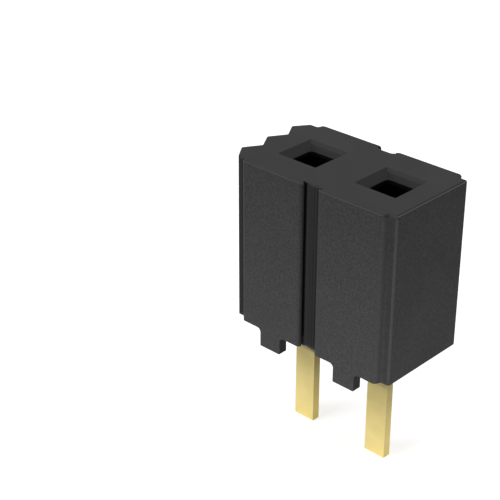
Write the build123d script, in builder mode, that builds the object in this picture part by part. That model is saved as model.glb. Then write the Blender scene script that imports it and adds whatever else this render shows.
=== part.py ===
from build123d import *
from math import radians, tan
import os

# Socket header for a circuit board: one moulded housing with a row of square sockets,
# and in each socket a contact cut and folded from one strip of sheet.
# Sizes are in millimetres. X runs along the row to the plain end, Y across it, Z up.
# The origin is on the board, under the middle of the row.

# Row
position_count = 2
pitch = 2.54

# Housing block
housing_width = 3.15
body_height = 4.70
plain_end_overhang = 0.04
corner_radius = 0.06
land_corner_radius = 0.13
plain_end_radius = 0.08
top_edge_radius = 0.04

# Grooves down both long sides, one between each two positions and one at each end
groove_depth = 0.18
groove_mouth = 0.53
groove_floor = 0.42

# Creases down the walls of the grooves between positions
crease_spacing = 0.46
crease_inset = 0.12
crease_width = 0.07
crease_depth = 0.08

# Toothed end
tooth_root_overhang = 0.04
tooth_height = 0.30
tooth_spacing = 0.97

# Feet that hold the block off the board
foot_height = 0.52
foot_width = 0.69
foot_depth = 0.27
foot_root_radius = 0.12
foot_corner_radius = 0.02

# Sockets in the top: a flared mouth in two slopes, then a short straight hole
mouth_size = 1.28
flare_size = 1.10
hole_size = 0.92
flare_depth = 0.08
funnel_depth = 0.14
mouth_corner_radius = 0.03
hole_corner_radius = 0.12
roof_thickness = 0.32

# Sheet of the contacts, and the folded base that the housing grips
sheet_thickness = 0.25
inside_bend_radius = 0.08
base_recess = 0.12
base_height = 1.05
base_shoulder = 0.08
shoulder_radius = 0.05
barb_reach = 0.08
barb_height = 0.30
barb_land = 0.08

# Two springs of each contact, which close on the pin from the front and the back
spring_width = 0.60
spring_root_rise = 0.30
spring_gap = 0.42
spring_pinch_drop = 1.20
spring_head_room = 0.62
spring_side_room = 0.04
spring_bend_radius = 0.30

# Tail: straight up from its tip under the middle of the row, then stepped to the front wall of the base
tail_width = 0.66
tail_length = 2.86
tail_straight_top = -0.68
tail_step_angle = 45
tail_bend_radius = 0.20

# Values that follow from the ones above
half_row = position_count * pitch / 2
half_width = housing_width / 2
groove_floor_y = half_width - groove_depth
plain_end_x = half_row + plain_end_overhang
tooth_root_x = -half_row - tooth_root_overhang
tooth_tip_x = tooth_root_x - tooth_height
top_z = foot_height + body_height
ceiling_z = top_z - roof_thickness
flare_z = top_z - flare_depth
hole_z = flare_z - funnel_depth
half_thickness = sheet_thickness / 2
chamber_length = tail_width + 2 * (sheet_thickness + inside_bend_radius + base_shoulder)
chamber_width = hole_size + 2 * (sheet_thickness + spring_side_room)
wall_y = chamber_width / 2 - half_thickness
web_x = -chamber_length / 2 + half_thickness
wall_end_x = chamber_length / 2 - barb_reach
base_bottom_z = foot_height + base_recess
base_top_z = base_bottom_z + base_height
barb_z = base_bottom_z + (base_height - barb_height) / 2
spring_pinch_y = spring_gap / 2 + half_thickness
spring_tip_y = hole_size / 2 + half_thickness
tail_centre_radius = tail_bend_radius + half_thickness
tail_low_corner_z = tail_straight_top + tail_centre_radius * tan(radians(tail_step_angle) / 2)
tail_high_corner_z = tail_low_corner_z + wall_y / tan(radians(tail_step_angle))

# Plan of the housing: a block with a toothed end, less the grooves
tooth_profile = [
    (tooth_root_x, half_width),
    (tooth_root_x, groove_floor_y),
    (tooth_tip_x, tooth_spacing),
    (tooth_root_x, tooth_spacing / 2),
    (tooth_tip_x, 0),
    (tooth_root_x, -tooth_spacing / 2),
    (tooth_tip_x, -tooth_spacing),
    (tooth_root_x, -groove_floor_y),
    (tooth_root_x, -half_width),
]

groove_profile = [
    (-groove_mouth / 2, 0),
    (-groove_floor / 2, groove_depth),
    (groove_floor / 2, groove_depth),
    (groove_mouth / 2, 0),
    (groove_floor / 2, -groove_depth),
    (-groove_floor / 2, -groove_depth),
]

# Front view of one foot, flared where it leaves the block and standing on Y = 0
foot_reach = foot_width / 2 + 2 * foot_root_radius
with BuildSketch() as foot_profile:
    with BuildLine():
        foot_line = FilletPolyline(
            (-foot_reach, foot_height),
            (-foot_width / 2, foot_height),
            (-foot_width / 2, 0),
            (foot_width / 2, 0),
            (foot_width / 2, foot_height),
            (foot_reach, foot_height),
            radius=[foot_root_radius, foot_corner_radius, foot_corner_radius, foot_root_radius],
        )
        Polyline(
            foot_line @ 1,
            (foot_reach, foot_height + foot_root_radius),
            (-foot_reach, foot_height + foot_root_radius),
            foot_line @ 0,
        )
    make_face()

# One socket, from the top down to the ceiling of the chamber
with BuildPart() as socket_form:
    with BuildSketch(Plane.XY.offset(top_z)):
        RectangleRounded(mouth_size, mouth_size, mouth_corner_radius)
    with BuildSketch(Plane.XY.offset(flare_z)):
        RectangleRounded(flare_size, flare_size, mouth_corner_radius)
    loft(ruled=True)
    with BuildSketch(Plane.XY.offset(flare_z)):
        RectangleRounded(flare_size, flare_size, mouth_corner_radius)
    with BuildSketch(Plane.XY.offset(hole_z)):
        RectangleRounded(hole_size, hole_size, hole_corner_radius)
    loft(ruled=True)
    with BuildSketch(Plane.XY.offset(hole_z)):
        RectangleRounded(hole_size, hole_size, hole_corner_radius)
    extrude(amount=ceiling_z - hole_z)

# The creases of one groove, in its front and its back run
with BuildPart() as crease_form:
    with BuildSketch(Plane.XY.offset(foot_height)):
        with GridLocations(crease_spacing, housing_width - 2 * crease_inset, 2, 2):
            Rectangle(2 * crease_depth, crease_width)
    extrude(amount=body_height)

with BuildPart() as housing:
    with BuildSketch(Plane.XY.offset(foot_height)) as plan:
        with BuildLine():
            Polyline(*tooth_profile, (plain_end_x, -half_width), (plain_end_x, half_width), close=True)
        make_face()
        with GridLocations(pitch, housing_width, position_count + 1, 2):
            Polygon(*groove_profile, mode=Mode.SUBTRACT)
        land_corners = plan.vertices().filter_by(lambda v: abs(abs(v.Y) - half_width) < corner_radius)
        plain_end_corners = plan.vertices().group_by(Axis.X)[-1]
        fillet(plan.vertices() - land_corners - plain_end_corners, corner_radius)
        fillet(plan.vertices().group_by(Axis.X)[-1], plain_end_radius)
        land_corners = plan.vertices().filter_by(lambda v: abs(abs(v.Y) - half_width) < corner_radius)
        fillet(land_corners, land_corner_radius)
    extrude(amount=body_height)
    top_outline = housing.faces().sort_by(Axis.Z)[-1].outer_wire()
    fillet(top_outline.edges(), top_edge_radius)

    # Feet along the front edge and along the back edge, one under each position
    for inner_y in (-half_width, half_width - foot_depth):
        with BuildSketch(Plane.XZ.offset(-inner_y)):
            with GridLocations(pitch, pitch, position_count, 1):
                add(foot_profile.sketch)
        extrude(amount=-foot_depth)

    # Chambers for the contacts, open below
    with BuildSketch(Plane.XY.offset(foot_height)):
        with GridLocations(pitch, pitch, position_count, 1):
            Rectangle(chamber_length, chamber_width)
    extrude(amount=ceiling_z - foot_height, mode=Mode.SUBTRACT)

    # Sockets in the roof
    with GridLocations(pitch, pitch, position_count, 1):
        add(socket_form.part, mode=Mode.SUBTRACT)

    # Creases of the grooves between positions
    for index in range(1, position_count):
        with Locations((index * pitch - half_row, 0, 0)):
            add(crease_form.part, mode=Mode.SUBTRACT)

with BuildPart() as contact_form:
    # Base: the sheet folded into a channel that is open towards the plain end
    with BuildLine(Plane.XY.offset(base_bottom_z + base_height / 2)) as fold:
        FilletPolyline(
            (wall_end_x, -wall_y),
            (web_x, -wall_y),
            (web_x, wall_y),
            (wall_end_x, wall_y),
            radius=inside_bend_radius + half_thickness,
        )
    with BuildSketch(Plane(origin=fold.line @ 0, x_dir=(0, 0, 1), z_dir=fold.line % 0)):
        Rectangle(base_height, sheet_thickness)
    sweep(path=fold.line)

    # Springs: up from the two walls, in to the pinch, then out again below the roof
    for side in (-1, 1):
        with BuildLine(Plane.YZ) as spring_line:
            FilletPolyline(
                (side * wall_y, base_top_z),
                (side * wall_y, base_top_z + spring_root_rise),
                (side * spring_pinch_y, ceiling_z - spring_pinch_drop),
                (side * spring_tip_y, ceiling_z - spring_head_room),
                radius=spring_bend_radius,
            )
        with BuildSketch(Plane(origin=spring_line.line @ 0, x_dir=(1, 0, 0), z_dir=(0, 0, 1))):
            Rectangle(spring_width, sheet_thickness)
        sweep(path=spring_line.line)

    # Tail: down from the front wall, stepped back to the middle of the row
    with BuildLine(Plane.YZ) as tail_line:
        FilletPolyline(
            (-wall_y, base_bottom_z),
            (-wall_y, tail_high_corner_z),
            (0, tail_low_corner_z),
            (0, -tail_length),
            radius=tail_centre_radius,
        )
    with BuildSketch(Plane(origin=tail_line.line @ 0, x_dir=(1, 0, 0), z_dir=(0, 0, -1))):
        Rectangle(tail_width, sheet_thickness)
    sweep(path=tail_line.line)

    # Rounded inner corners where the springs and the tail leave the base
    corner_heights = (base_bottom_z, base_top_z)
    inner_corners = contact_form.edges().filter_by(Axis.Y).filter_by(
        lambda e: min(abs(e.center().Z - z) for z in corner_heights) < shoulder_radius / 2
        and abs(e.center().X) < (spring_width + tail_width) / 4 + shoulder_radius
    )
    fillet(inner_corners, shoulder_radius)

    # Barbs on the free ends of both walls
    for side in (-1, 1):
        with BuildSketch(Plane.XZ.offset(side * wall_y)):
            with BuildLine():
                Polyline(
                    (wall_end_x - barb_reach, barb_z),
                    (wall_end_x + barb_reach, barb_z),
                    (wall_end_x + barb_reach, barb_z + barb_land),
                    (wall_end_x, barb_z + barb_height),
                    (wall_end_x - barb_reach, barb_z + barb_height),
                    close=True,
                )
            make_face()
        extrude(amount=half_thickness, both=True)

os.makedirs("parts", exist_ok=True)
housing.part.label = "housing"
export_step(housing.part, "parts/housing.step")

# One contact in each socket, numbered from the toothed end
first_x = -(position_count - 1) * pitch / 2
for index in range(position_count):
    with BuildPart() as contact:
        with Locations((first_x + index * pitch, 0, 0)):
            add(contact_form.part)
    contact.part.label = f"contact_{index + 1}"
    export_step(contact.part, f"parts/contact_{index + 1}.step")
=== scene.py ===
import bpy
import bmesh
import math
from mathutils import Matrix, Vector


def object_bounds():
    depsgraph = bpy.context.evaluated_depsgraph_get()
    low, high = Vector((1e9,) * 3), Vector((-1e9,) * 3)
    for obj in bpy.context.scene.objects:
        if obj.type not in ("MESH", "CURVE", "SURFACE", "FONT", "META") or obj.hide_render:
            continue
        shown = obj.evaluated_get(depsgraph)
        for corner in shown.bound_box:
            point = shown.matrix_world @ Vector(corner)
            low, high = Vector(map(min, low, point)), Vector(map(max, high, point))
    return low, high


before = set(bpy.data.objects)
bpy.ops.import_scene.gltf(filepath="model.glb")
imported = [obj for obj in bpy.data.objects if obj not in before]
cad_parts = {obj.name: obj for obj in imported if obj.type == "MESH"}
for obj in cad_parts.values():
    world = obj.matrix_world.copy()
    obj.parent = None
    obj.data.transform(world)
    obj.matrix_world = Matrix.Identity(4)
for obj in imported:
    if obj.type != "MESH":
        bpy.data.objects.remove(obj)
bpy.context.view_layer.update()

MM = 0.001

# Camera, from a fit of the part's corners to the photograph
CAMERA_PLACE = (19.688 * MM, -24.318 * MM, 19.406 * MM)
CAMERA_TURN = (math.radians(62.074), math.radians(-0.003), math.radians(43.639))
CAMERA_LENS = 98.317
CAMERA_SENSOR = 36.0
CAMERA_NEAR = 1 * MM
CAMERA_FAR = 2000 * MM

# Plain surroundings: the floor glows a little near the part, and more towards its far edge
PURE_WHITE = (1, 1, 1, 1)
FLOOR_PAINT = (0.80, 0.80, 0.80, 1)
FLOOR_REACH = 150 * MM
FLOOR_GLOW = 0.62
FLOOR_FAR = (20 * MM, 80 * MM)
FLOOR_FAR_GLOW = 0.5
WORLD_STRENGTH = 0.37

# Lamps: place and width in millimetres, power in watts, and whether the camera sees them
LAMPS = {
    "key_lamp": ((-45, -95, 45), 70, 0.066, True),
    "top_lamp": ((10, 10, 120), 100, 0.034, True),
    "low_lamp": ((7, -8, -2.5), 6, 0.00050, False),
}
LAMP_AIM = (0, 0, 1.2 * MM)

# Colours of the moulded plastic: the dark and light tones of its grain, and colours of painted shade,
# painted light and painted highlight
PLASTIC_DARK = (0.0300, 0.0300, 0.0302, 1)
PLASTIC_LIGHT = (0.0560, 0.0560, 0.0562, 1)
PLASTIC_PAINTED_SHADE = (0.0180, 0.0180, 0.0182, 1)
PLASTIC_PAINTED_HALF_SHADE = (0.0270, 0.0270, 0.0273, 1)
PLASTIC_BLACK_SHADE = (0.0020, 0.0020, 0.0020, 1)
PLASTIC_PAINTED_LIGHT_AND_WEAR = (0.0850, 0.0850, 0.0860, 1)
PLASTIC_PAINTED_HIGHLIGHT = (0.1150, 0.1150, 0.1160, 1)

# Colours of the gold plate: its own colour, colours of painted shade for the height and the side faces,
# and a paler colour for edge wear with a painted highlight
GOLD_COLOUR = (0.757, 0.626, 0.262, 1)
GOLD_SHADED = (0.060, 0.050, 0.021, 1)
GOLD_SIDE_SHADE = (0.588, 0.470, 0.173, 1)
GOLD_INNER_SIDE_SHADE = (0.490, 0.381, 0.123, 1)
GOLD_PAINTED_LIGHT_AND_WEAR = (0.860, 0.730, 0.370, 1)

# Grain of both materials: scales of the bump, the mottle and the slow cloud, and how strong each is
PLASTIC_GRAIN = {"grain_scale": 26000.0, "mottle_scale": 16000.0, "cloud_scale": 700.0}
PLASTIC_MOTTLE = 0.62
PLASTIC_BUMP = {"Strength": 0.12, "Distance": 0.004 * MM}
PLASTIC_ROUGHNESS = (0.56, 0.66)
PLASTIC_SHINE = {"Specular IOR Level": 0.07, "IOR": 1.5}
GOLD_GRAIN = {"grain_scale": 40000.0, "mottle_scale": 9000.0, "cloud_scale": 1500.0}
GOLD_CLOUD = 0.10
GOLD_BUMP = {"Strength": 0.10, "Distance": 0.003 * MM}
GOLD_ROUGHNESS = (0.34, 0.44)
ROLLING_STRETCH = (1.0, 1.0, 0.06)
ROLLING_MARKS = {"Scale": 16000.0, "Detail": 3.0}

# Boxes that pick out places on the part, in millimetres: centre, half size, and the fade outside
MIDDLE_GROOVE = ((0, 0, 2.86), (0.30, 1.50, 2.26), 0.07)
MIDDLE_GROOVE_FLOOR = ((0, 0, 2.86), (0.30, 1.40, 2.26), 0.02)
MIDDLE_GROOVE_CENTRE = ((0, 0, 2.86), (0.10, 1.42, 2.26), 0.08)
TOOTHED_END = ((-2.78, 0, 2.86), (0.50, 1.44, 2.26), 0.06)
END_GROOVE_FLOOR = ((2.47, 0, 2.86), (0.05, 1.42, 2.26), 0.05)
END_GROOVE_WALL = ((2.39, 0, 2.86), (0.05, 1.60, 2.20), 0.15)
END_GROOVE_DEPTH = ((2.36, 0, 2.86), (0.40, 1.39, 2.26), 0.07)
CREASE_MOUTH = ((0, 0, 3.00), (0.36, 1.494, 2.20), 0.006)
CREASE_BACK = ((0, 0, 3.00), (0.36, 1.414, 2.20), 0.004)
# Two fine painted shadow lines on the middle groove's floor
SHADE_LINE_RIGHT = ((0.12, 0, 2.86), (0.012, 1.42, 2.30), 0.016)
SHADE_LINE_LEFT = ((0.02, 0, 2.86), (0.012, 1.42, 2.30), 0.016)
FEET = ((0, 0, 0.05), (2.4, 1.7, 0.42), 0.04)
CHAMBERS = ((0, 0, 2.74), (2.10, 0.80, 2.24), 0.03)
FUNNELS = ((0, 0, 5.07), (2.1, 0.8, 0.06), 0.02)
INSIDE_TOP_RIM = ((-0.25, 0, 5.10), (2.74, 1.51, 0.30), 0.01)
PLAIN_END_TOP = ((2.58, 0, 5.20), (0.08, 1.34, 0.08), 0.04)
# A fine line of painted shade along the plain end's top edge, beside its painted highlight
PLAIN_END_SHADE_LINE = ((2.53, 0, 5.22), (0.022, 1.60, 0.008), 0.008)
PLAIN_END = ((2.6, 0, 2.86), (0.14, 1.6, 2.26), 0.02)
BELOW_TOP = ((0, 0, 2.50), (3.0, 2.0, 2.66), 0.02)
BETWEEN_TAILS = ((0, 0, -1.2), (0.945, 1.0, 1.9), 0.01)

# Faces picked out by their slant: an axis, then the middle and the range of the cosine to it
UPRIGHT = ((0, 0, 1), 0.0, 0.3)
ALONG_Y = ((0, 1, 0), 0.0, 0.3)
ROUNDED_TO_TOP = ((0, 0, 1), 0.55, 0.27)
TURNED_TO_PLAIN_END = ((1, 0, 0), 0.62, 0.34)
SHEARED_SIDE = ((1, 0, 0), 0.95, 0.30)
SHEARED_OTHER_SIDE = ((-1, 0, 0), 0.95, 0.30)

# Changes with height, all painted light or shade: two heights in millimetres, and the values there
FACES_PAINTED_LIGHTER_BELOW = ((0, 5.22), (0.27, -0.35))
GOLD_SHADE_ABOVE = ((-2.36, 0.52), (0.0, 1.0))
GOLD_SHADOW_UNDER_BLOCK = ((-0.28, -0.08), (0.0, 0.16))
GOLD_INSIDE_BLOCK = ((0.52, 0.94), (1.0, 0.15))
GOLD_SHADE_BETWEEN_TAILS = ((-2.5, -0.7), (0.0, 0.25))

# Edge wear, lightened partly as a painted highlight: width of the rounding that finds the edges, and
# strength
PLASTIC_EDGE_WEAR_AND_HIGHLIGHT = (0.03 * MM, 0.5)
GOLD_EDGE_WEAR_AND_HIGHLIGHT = (0.03 * MM, 0.8)

# How much of each coat covers the colour below it
SHADE_LINE_RIGHT_COAT = 0.55
SHADE_LINE_LEFT_COAT = 0.35
END_FLOOR_COAT = 0.4
END_WALL_COAT = 0.50
CREASE_COAT = 0.90
FOOT_SIDE_COAT = 0.75
FUNNEL_END_COAT = 0.45
FUNNEL_FLANK_COAT = 0.40
TOP_RIM_COAT = 0.40
END_SHADE_LINE_COAT = 0.60
CORNER_COAT = 0.45

# Noise runs from 0 to 1 about this middle, and nearly all of it lies in this spread
NOISE_MIDDLE = 0.5
NOISE_SPREAD = (0.3, 0.7)


class Nodes:
    """Places shader nodes in a tree, and links them by the names of their sockets."""

    def __init__(self, tree):
        self.tree = tree
        tree.nodes.clear()

    def add(self, kind, values=None, links=None, **settings):
        node = self.tree.nodes.new(kind)
        for name, value in settings.items():
            setattr(node, name, value)
        for name, value in (values or {}).items():
            node.inputs[name].default_value = value
        for name, socket in (links or {}).items():
            self.tree.links.new(socket, node.inputs[name])
        return node

    def calculate(self, operation, first, second, clamp=False):
        """One operation on two sockets or numbers; gives its output socket."""
        node = self.add("ShaderNodeMath", operation=operation, use_clamp=clamp)
        for place, term in enumerate((first, second)):
            if isinstance(term, (int, float)):
                node.inputs[place].default_value = term
            else:
                self.tree.links.new(term, node.inputs[place])
        return node.outputs[0]

    def product(self, first, *others):
        for other in others:
            first = self.calculate("MULTIPLY", first, other)
        return first

    def without(self, mask, taken):
        return self.calculate("SUBTRACT", mask, taken, clamp=True)

    def ramp(self, value, between, results):
        """Turns the range between into the range results, and stays at its ends outside it."""
        limits = {
            "From Min": between[0],
            "From Max": between[1],
            "To Min": results[0],
            "To Max": results[1],
        }
        return self.add("ShaderNodeMapRange", limits, {"Value": value}).outputs["Result"]

    def blend(self, amount, below, above):
        """A colour between two others, each a colour or a socket; gives its output socket."""
        node = self.add("ShaderNodeMix", data_type="RGBA")
        self.tree.links.new(amount, node.inputs[0])
        for place, colour in ((6, below), (7, above)):
            if isinstance(colour, tuple):
                node.inputs[place].default_value = colour
            else:
                self.tree.links.new(colour, node.inputs[place])
        return node.outputs[2]

    def coat(self, below, mask, amount, above):
        """Covers a colour with a share of another, where the mask is 1."""
        return self.blend(self.product(mask, amount), below, above)

    def object_place(self):
        return self.add("ShaderNodeTexCoord").outputs["Object"]


def new_group(name, inputs, outputs):
    """A node group; each input is a label and its default, a number or a vector."""
    tree = bpy.data.node_groups.new(name, "ShaderNodeTree")
    for label, default in inputs.items():
        kind = "NodeSocketVector" if isinstance(default, tuple) else "NodeSocketFloat"
        socket = tree.interface.new_socket(label, in_out="INPUT", socket_type=kind)
        socket.default_value = default
    for label in outputs:
        tree.interface.new_socket(label, in_out="OUTPUT", socket_type="NodeSocketFloat")
    nodes = Nodes(tree)
    return tree, nodes, nodes.add("NodeGroupInput").outputs, nodes.add("NodeGroupOutput").inputs


def edge_wear_and_highlight_group():
    """A mask that is 1 on sharp edges and 0 on faces, broken up by a fine mottle."""
    tree, nodes, given, result = new_group(
        "edge_wear_and_highlight",
        {"Width": 0.04 * MM, "Strength": 4.0, "Mottle Scale": 9000.0},
        ["Mask"],
    )
    rounded = nodes.add("ShaderNodeBevel", links={"Radius": given["Width"]}, samples=6)
    surface = nodes.add("ShaderNodeNewGeometry")
    facing = nodes.add(
        "ShaderNodeVectorMath",
        links={0: rounded.outputs["Normal"], 1: surface.outputs["Normal"]},
        operation="DOT_PRODUCT",
    )
    away = nodes.calculate("SUBTRACT", 1.0, facing.outputs["Value"])
    gained = nodes.product(away, given["Strength"])
    mottle = nodes.add(
        "ShaderNodeTexNoise",
        {"Detail": 3.0},
        {"Vector": nodes.object_place(), "Scale": given["Mottle Scale"]},
    )
    broken = nodes.ramp(mottle.outputs["Fac"], NOISE_SPREAD, (0.55, 1.0))
    tree.links.new(nodes.calculate("MULTIPLY", gained, broken, clamp=True), result["Mask"])
    return tree


def fine_grain_group():
    """Grain of the surface: a height for the bump, a mottle for colour, and a slow cloud."""
    tree, nodes, given, result = new_group(
        "fine_grain",
        {"Grain Scale": 30000.0, "Mottle Scale": 10000.0, "Cloud Scale": 900.0},
        ["Height", "Mottle", "Cloud"],
    )
    place = nodes.object_place()
    fine = {"Vector": place, "Scale": given["Grain Scale"]}
    grain = nodes.add("ShaderNodeTexNoise", {"Detail": 4.0, "Roughness": 0.6}, fine)
    pits = nodes.add("ShaderNodeTexVoronoi", links=fine)
    pit_share = 0.4
    both = nodes.add(
        "ShaderNodeMath",
        {1: pit_share},
        {0: pits.outputs["Distance"], 2: grain.outputs["Fac"]},
        operation="MULTIPLY_ADD",
    )
    tree.links.new(both.outputs[0], result["Height"])
    for name, detail in (("Mottle", 2.0), ("Cloud", 3.0)):
        noise = nodes.add(
            "ShaderNodeTexNoise",
            {"Detail": detail},
            {"Vector": place, "Scale": given[name + " Scale"]},
        )
        tree.links.new(nodes.ramp(noise.outputs["Fac"], NOISE_SPREAD, (0.0, 1.0)), result[name])
    return tree


def inside_box_group():
    """A mask that is 1 inside a box about Centre and fades to 0 over the distance Fade outside it."""
    tree, nodes, given, result = new_group(
        "inside_box",
        {"Centre": (0, 0, 0), "Half Size": (MM, MM, MM), "Fade": 0.05 * MM},
        ["Mask"],
    )
    offset = nodes.add(
        "ShaderNodeVectorMath",
        links={0: nodes.object_place(), 1: given["Centre"]},
        operation="SUBTRACT",
    )
    reach = nodes.add(
        "ShaderNodeVectorMath",
        links={0: offset.outputs["Vector"]},
        operation="ABSOLUTE",
    )
    past = nodes.add(
        "ShaderNodeVectorMath",
        links={0: reach.outputs["Vector"], 1: given["Half Size"]},
        operation="SUBTRACT",
    )
    parts = nodes.add("ShaderNodeSeparateXYZ", links={"Vector": past.outputs["Vector"]}).outputs
    wider = nodes.calculate("MAXIMUM", parts["X"], parts["Y"])
    widest = nodes.calculate("MAXIMUM", wider, parts["Z"])
    mask = nodes.add(
        "ShaderNodeMapRange",
        {"From Min": 0.0, "To Min": 1.0, "To Max": 0.0},
        {"Value": widest, "From Max": given["Fade"]},
        interpolation_type="SMOOTHSTEP",
    )
    tree.links.new(mask.outputs["Result"], result["Mask"])
    return tree


def slanted_face_group():
    """A mask that is 1 on faces whose cosine to Axis lies within Range of Middle."""
    tree, nodes, given, result = new_group(
        "slanted_face",
        {"Axis": (0, 0, 1), "Middle": 0.0, "Range": 0.3},
        ["Mask"],
    )
    surface = nodes.add("ShaderNodeNewGeometry")
    facing = nodes.add(
        "ShaderNodeVectorMath",
        links={0: surface.outputs["True Normal"], 1: given["Axis"]},
        operation="DOT_PRODUCT",
    )
    within = nodes.add(
        "ShaderNodeMath",
        links={0: facing.outputs["Value"], 1: given["Middle"], 2: given["Range"]},
        operation="COMPARE",
    )
    tree.links.new(within.outputs[0], result["Mask"])
    return tree


edge_wear_and_highlight = edge_wear_and_highlight_group()
fine_grain = fine_grain_group()
inside_box = inside_box_group()
slanted_face = slanted_face_group()


def new_material(name):
    material = bpy.data.materials.new(name)
    material.use_nodes = True
    return material, Nodes(material.node_tree)


def millimetres(sizes):
    return tuple(size * MM for size in sizes)


def place_group(nodes, tree, **values):
    """Places a shared group; a value named half_size goes to its input Half Size."""
    node = nodes.add("ShaderNodeGroup", node_tree=tree)
    for name, value in values.items():
        node.inputs[name.replace("_", " ").title()].default_value = value
    return node.outputs


def box_mask(nodes, box):
    centre, half_size, fade = box
    values = {"centre": millimetres(centre), "half_size": millimetres(half_size), "fade": fade * MM}
    return place_group(nodes, inside_box, **values)["Mask"]


def slant_mask(nodes, slant):
    axis, middle, reach = slant
    return place_group(nodes, slanted_face, axis=axis, middle=middle, range=reach)["Mask"]


def wear_and_highlight_mask(nodes, wear):
    width, strength = wear
    return place_group(nodes, edge_wear_and_highlight, width=width, strength=strength)["Mask"]


def by_height(nodes, change):
    """A value that changes with height above the board."""
    heights, values = change
    place = nodes.add("ShaderNodeSeparateXYZ", links={"Vector": nodes.object_place()})
    return nodes.ramp(place.outputs["Z"], millimetres(heights), values)


def grained_faces(nodes, grain):
    """Outer faces: a fine mottle, and on upright faces a painted light that makes them paler towards the
    board.
    """
    about_zero = nodes.calculate("SUBTRACT", grain["Mottle"], NOISE_MIDDLE)
    mottle = nodes.product(about_zero, PLASTIC_MOTTLE)
    changing = nodes.calculate("ADD", mottle, by_height(nodes, FACES_PAINTED_LIGHTER_BELOW))
    uneven = nodes.product(changing, slant_mask(nodes, UPRIGHT))
    lightness = nodes.calculate("ADD", uneven, NOISE_MIDDLE)
    return nodes.blend(lightness, PLASTIC_DARK, PLASTIC_LIGHT)


def coat_grooves(nodes, colour):
    """Painted shade in the middle groove and between the teeth, less of it on the sides of the middle
    groove's floor, some on the end groove's floor, and painted light on the end groove's wall beside the
    plain end.
    """
    middle_groove = box_mask(nodes, MIDDLE_GROOVE)
    toothed_end = box_mask(nodes, TOOTHED_END)
    colour = nodes.blend(nodes.calculate("MAXIMUM", middle_groove, toothed_end), colour, PLASTIC_PAINTED_SHADE)

    floor = box_mask(nodes, MIDDLE_GROOVE_FLOOR)
    floor_sides = nodes.without(floor, box_mask(nodes, MIDDLE_GROOVE_CENTRE))
    colour = nodes.blend(floor_sides, colour, PLASTIC_PAINTED_HALF_SHADE)

    end_floor = box_mask(nodes, END_GROOVE_FLOOR)
    colour = nodes.coat(colour, end_floor, END_FLOOR_COAT, PLASTIC_PAINTED_SHADE)
    end_wall = nodes.without(box_mask(nodes, END_GROOVE_WALL), box_mask(nodes, END_GROOVE_DEPTH))
    return nodes.coat(colour, end_wall, END_WALL_COAT, PLASTIC_PAINTED_LIGHT_AND_WEAR)


def coat_creases(nodes, colour):
    """Painted shade: black in the creases of the middle groove's walls, and along two fine painted
    shadow lines on its floor.
    """
    crease = nodes.without(box_mask(nodes, CREASE_MOUTH), box_mask(nodes, CREASE_BACK))
    colour = nodes.coat(colour, crease, CREASE_COAT, PLASTIC_BLACK_SHADE)
    right_line = box_mask(nodes, SHADE_LINE_RIGHT)
    colour = nodes.coat(colour, right_line, SHADE_LINE_RIGHT_COAT, PLASTIC_BLACK_SHADE)
    left_line = box_mask(nodes, SHADE_LINE_LEFT)
    return nodes.coat(colour, left_line, SHADE_LINE_LEFT_COAT, PLASTIC_BLACK_SHADE)


def coat_feet_and_sockets(nodes, colour):
    """Painted shade on the sides of the feet, painted black shade in the chambers, and funnels with
    painted light on their ends and painted shade on their flanks.
    """
    ends = slant_mask(nodes, ALONG_Y)
    foot_sides = nodes.product(ends, box_mask(nodes, FEET))
    colour = nodes.coat(colour, foot_sides, FOOT_SIDE_COAT, PLASTIC_PAINTED_SHADE)
    colour = nodes.blend(box_mask(nodes, CHAMBERS), colour, PLASTIC_BLACK_SHADE)

    funnels = box_mask(nodes, FUNNELS)
    flanks = nodes.calculate("SUBTRACT", 1.0, ends)
    colour = nodes.coat(colour, nodes.product(ends, funnels), FUNNEL_END_COAT, PLASTIC_PAINTED_LIGHT_AND_WEAR)
    return nodes.coat(colour, nodes.product(flanks, funnels), FUNNEL_FLANK_COAT, PLASTIC_PAINTED_SHADE)


def coat_edges(nodes, colour):
    """Painted highlight on the rim of the top, brightest at the plain end beside a fine line of painted
    shade, painted highlight on the plain end's rounded corners, and edges below the top lightened by
    wear and a painted highlight.
    """
    turned = slant_mask(nodes, TURNED_TO_PLAIN_END)
    outer_top = nodes.calculate("SUBTRACT", 1.0, box_mask(nodes, INSIDE_TOP_RIM))
    top_rim = nodes.product(slant_mask(nodes, ROUNDED_TO_TOP), outer_top)
    end_rim = nodes.product(top_rim, turned, box_mask(nodes, PLAIN_END_TOP))
    colour = nodes.coat(colour, top_rim, TOP_RIM_COAT, PLASTIC_PAINTED_LIGHT_AND_WEAR)
    colour = nodes.blend(end_rim, colour, PLASTIC_PAINTED_HIGHLIGHT)
    colour = nodes.coat(colour, box_mask(nodes, PLAIN_END_SHADE_LINE), END_SHADE_LINE_COAT, PLASTIC_PAINTED_SHADE)

    corners = nodes.product(turned, box_mask(nodes, PLAIN_END), CORNER_COAT)
    edge_wear_and_light = nodes.product(wear_and_highlight_mask(nodes, PLASTIC_EDGE_WEAR_AND_HIGHLIGHT), box_mask(nodes, BELOW_TOP))
    return nodes.blend(nodes.calculate("MAXIMUM", corners, edge_wear_and_light), colour, PLASTIC_PAINTED_LIGHT_AND_WEAR)


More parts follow.
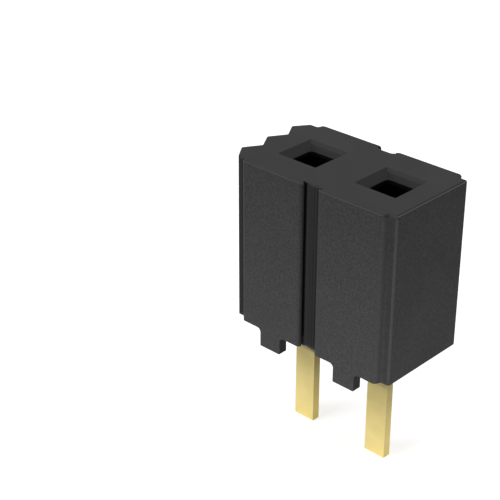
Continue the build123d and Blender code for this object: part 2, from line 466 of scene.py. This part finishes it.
def moulded_plastic():
    """Black moulded plastic: grained outer faces paler towards the board by painted light, painted shade
    in the grooves, creases, chambers and between the teeth, and edges lighter by painted highlight and
    wear.
    """
    material, nodes = new_material("moulded_black_plastic")
    grain = place_group(nodes, fine_grain, **PLASTIC_GRAIN)
    colour = grained_faces(nodes, grain)
    for coat in (coat_grooves, coat_creases, coat_feet_and_sockets, coat_edges):
        colour = coat(nodes, colour)
    roughness = nodes.ramp(grain["Cloud"], (0.0, 1.0), PLASTIC_ROUGHNESS)
    bump = nodes.add("ShaderNodeBump", PLASTIC_BUMP, {"Height": grain["Height"]})
    shader = nodes.add(
        "ShaderNodeBsdfPrincipled",
        PLASTIC_SHINE,
        {"Base Color": colour, "Roughness": roughness, "Normal": bump.outputs["Normal"]},
    )
    nodes.add("ShaderNodeOutputMaterial", links={"Surface": shader.outputs["BSDF"]})
    return material


def gold_painted_shade(nodes, grain, inner_sides):
    """Painted shade on the gold: darker towards the block, with a painted shadow just under it and more
    shade between the tails, much less inside the block, and a slow random cloud.
    """
    rise = by_height(nodes, GOLD_SHADE_ABOVE)
    rise_and_shadow = nodes.calculate("ADD", rise, by_height(nodes, GOLD_SHADOW_UNDER_BLOCK))
    shaded_towards_block = nodes.product(rise_and_shadow, by_height(nodes, GOLD_INSIDE_BLOCK))
    between_tails = nodes.product(inner_sides, by_height(nodes, GOLD_SHADE_BETWEEN_TAILS))
    about_zero = nodes.calculate("SUBTRACT", grain["Cloud"], NOISE_MIDDLE)
    cloudy = nodes.product(about_zero, GOLD_CLOUD)
    even = nodes.calculate("ADD", shaded_towards_block, between_tails)
    return nodes.calculate("ADD", even, cloudy, clamp=True)


def gold_plate():
    """Gold plated sheet: a soft satin with rolling marks along Z, painted shade on the side faces, more
    on the sides that face each other, and edges lightened by wear and a painted highlight.
    """
    material, nodes = new_material("gold_plated_sheet")
    along = nodes.add(
        "ShaderNodeMapping",
        {"Scale": ROLLING_STRETCH},
        {"Vector": nodes.object_place()},
    )
    rolled = nodes.add("ShaderNodeTexNoise", ROLLING_MARKS, {"Vector": along.outputs["Vector"]})
    grain = place_group(nodes, fine_grain, **GOLD_GRAIN)

    side = slant_mask(nodes, SHEARED_SIDE)
    sides = nodes.calculate("MAXIMUM", side, slant_mask(nodes, SHEARED_OTHER_SIDE))
    between_tails = box_mask(nodes, BETWEEN_TAILS)
    side_shade = nodes.blend(between_tails, GOLD_SIDE_SHADE, GOLD_INNER_SIDE_SHADE)
    plated = nodes.blend(sides, GOLD_COLOUR, side_shade)
    gold_shade_amount = gold_painted_shade(nodes, grain, nodes.product(sides, between_tails))
    shaded = nodes.blend(gold_shade_amount, plated, GOLD_SHADED)
    # Edges lightened by wear and a painted highlight
    colour = nodes.blend(wear_and_highlight_mask(nodes, GOLD_EDGE_WEAR_AND_HIGHLIGHT), shaded, GOLD_PAINTED_LIGHT_AND_WEAR)

    roughness = nodes.ramp(rolled.outputs["Fac"], (0.0, 1.0), GOLD_ROUGHNESS)
    bump = nodes.add("ShaderNodeBump", GOLD_BUMP, {"Height": rolled.outputs["Fac"]})
    shader = nodes.add(
        "ShaderNodeBsdfPrincipled",
        {"Metallic": 1.0},
        {"Base Color": colour, "Roughness": roughness, "Normal": bump.outputs["Normal"]},
    )
    nodes.add("ShaderNodeOutputMaterial", links={"Surface": shader.outputs["BSDF"]})
    return material


def dress(node_name, material):
    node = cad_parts[node_name]
    node.data.materials.clear()
    node.data.materials.append(material)


plastic = moulded_plastic()
gold = gold_plate()
dress("housing", plastic)
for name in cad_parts:
    if name.startswith("contact"):
        dress(name, gold)


def seen_by_eye(nodes):
    """1 for rays that show a surface: straight from the camera, or through a reflection or glass."""
    path = nodes.add("ShaderNodeLightPath").outputs
    mirrored = nodes.calculate("MAXIMUM", path["Is Camera Ray"], path["Is Glossy Ray"])
    return nodes.calculate("MAXIMUM", mirrored, path["Is Transmission Ray"])


def white_floor():
    """White floor that keeps the part's shadow, and shows as plain white up to its far edge."""
    material, nodes = new_material("white_floor")
    matt = nodes.add("ShaderNodeBsdfDiffuse", {"Color": FLOOR_PAINT})
    distance = nodes.add("ShaderNodeVectorMath", links={0: nodes.object_place()}, operation="LENGTH")
    far = nodes.ramp(distance.outputs["Value"], FLOOR_FAR, (0.0, FLOOR_FAR_GLOW))
    path = nodes.add("ShaderNodeLightPath")
    far_glow = nodes.product(far, path.outputs["Is Camera Ray"])
    near_glow = nodes.product(seen_by_eye(nodes), FLOOR_GLOW)
    glow = nodes.add(
        "ShaderNodeEmission",
        {"Color": PURE_WHITE},
        {"Strength": nodes.calculate("ADD", near_glow, far_glow)},
    )
    both = nodes.add("ShaderNodeAddShader", links={0: matt.outputs["BSDF"], 1: glow.outputs["Emission"]})
    nodes.add("ShaderNodeOutputMaterial", links={"Surface": both.outputs["Shader"]})
    return material


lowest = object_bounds()[0][2]
floor_mesh = bpy.data.meshes.new("floor")
shape = bmesh.new()
bmesh.ops.create_circle(shape, cap_ends=True, segments=64, radius=FLOOR_REACH)
bmesh.ops.translate(shape, verts=shape.verts, vec=Vector((0, 0, lowest)))
shape.to_mesh(floor_mesh)
shape.free()
floor = bpy.data.objects.new("floor", floor_mesh)
bpy.context.scene.collection.objects.link(floor)
floor_mesh.materials.append(white_floor())

world = bpy.data.worlds.new("white_room")
world.use_nodes = True
bpy.context.scene.world = world
sky = Nodes(world.node_tree)
sky_level = sky.ramp(seen_by_eye(sky), (0.0, 1.0), (WORLD_STRENGTH, 1.0))
sky_light = sky.add("ShaderNodeBackground", {"Color": PURE_WHITE}, {"Strength": sky_level})
sky.add("ShaderNodeOutputWorld", links={"Surface": sky_light.outputs["Background"]})

for name, (place, width, power, seen) in LAMPS.items():
    lamp = bpy.data.lights.new(name, "AREA")
    lamp.shape = "SQUARE"
    lamp.size = width * MM
    lamp.energy = power
    lamp_object = bpy.data.objects.new(name, lamp)
    lamp_object.location = millimetres(place)
    aim = Vector(LAMP_AIM) - Vector(millimetres(place))
    lamp_object.rotation_euler = aim.to_track_quat("-Z", "Y").to_euler()
    lamp_object.visible_camera = seen
    bpy.context.scene.collection.objects.link(lamp_object)

camera_data = bpy.data.cameras.new("camera")
camera_data.lens = CAMERA_LENS
camera_data.sensor_width = CAMERA_SENSOR
camera_data.clip_start = CAMERA_NEAR
camera_data.clip_end = CAMERA_FAR
camera = bpy.data.objects.new("camera", camera_data)
camera.location = CAMERA_PLACE
camera.rotation_euler = CAMERA_TURN
bpy.context.scene.collection.objects.link(camera)
bpy.context.scene.camera = camera

bpy.context.scene.view_settings.view_transform = "Standard"
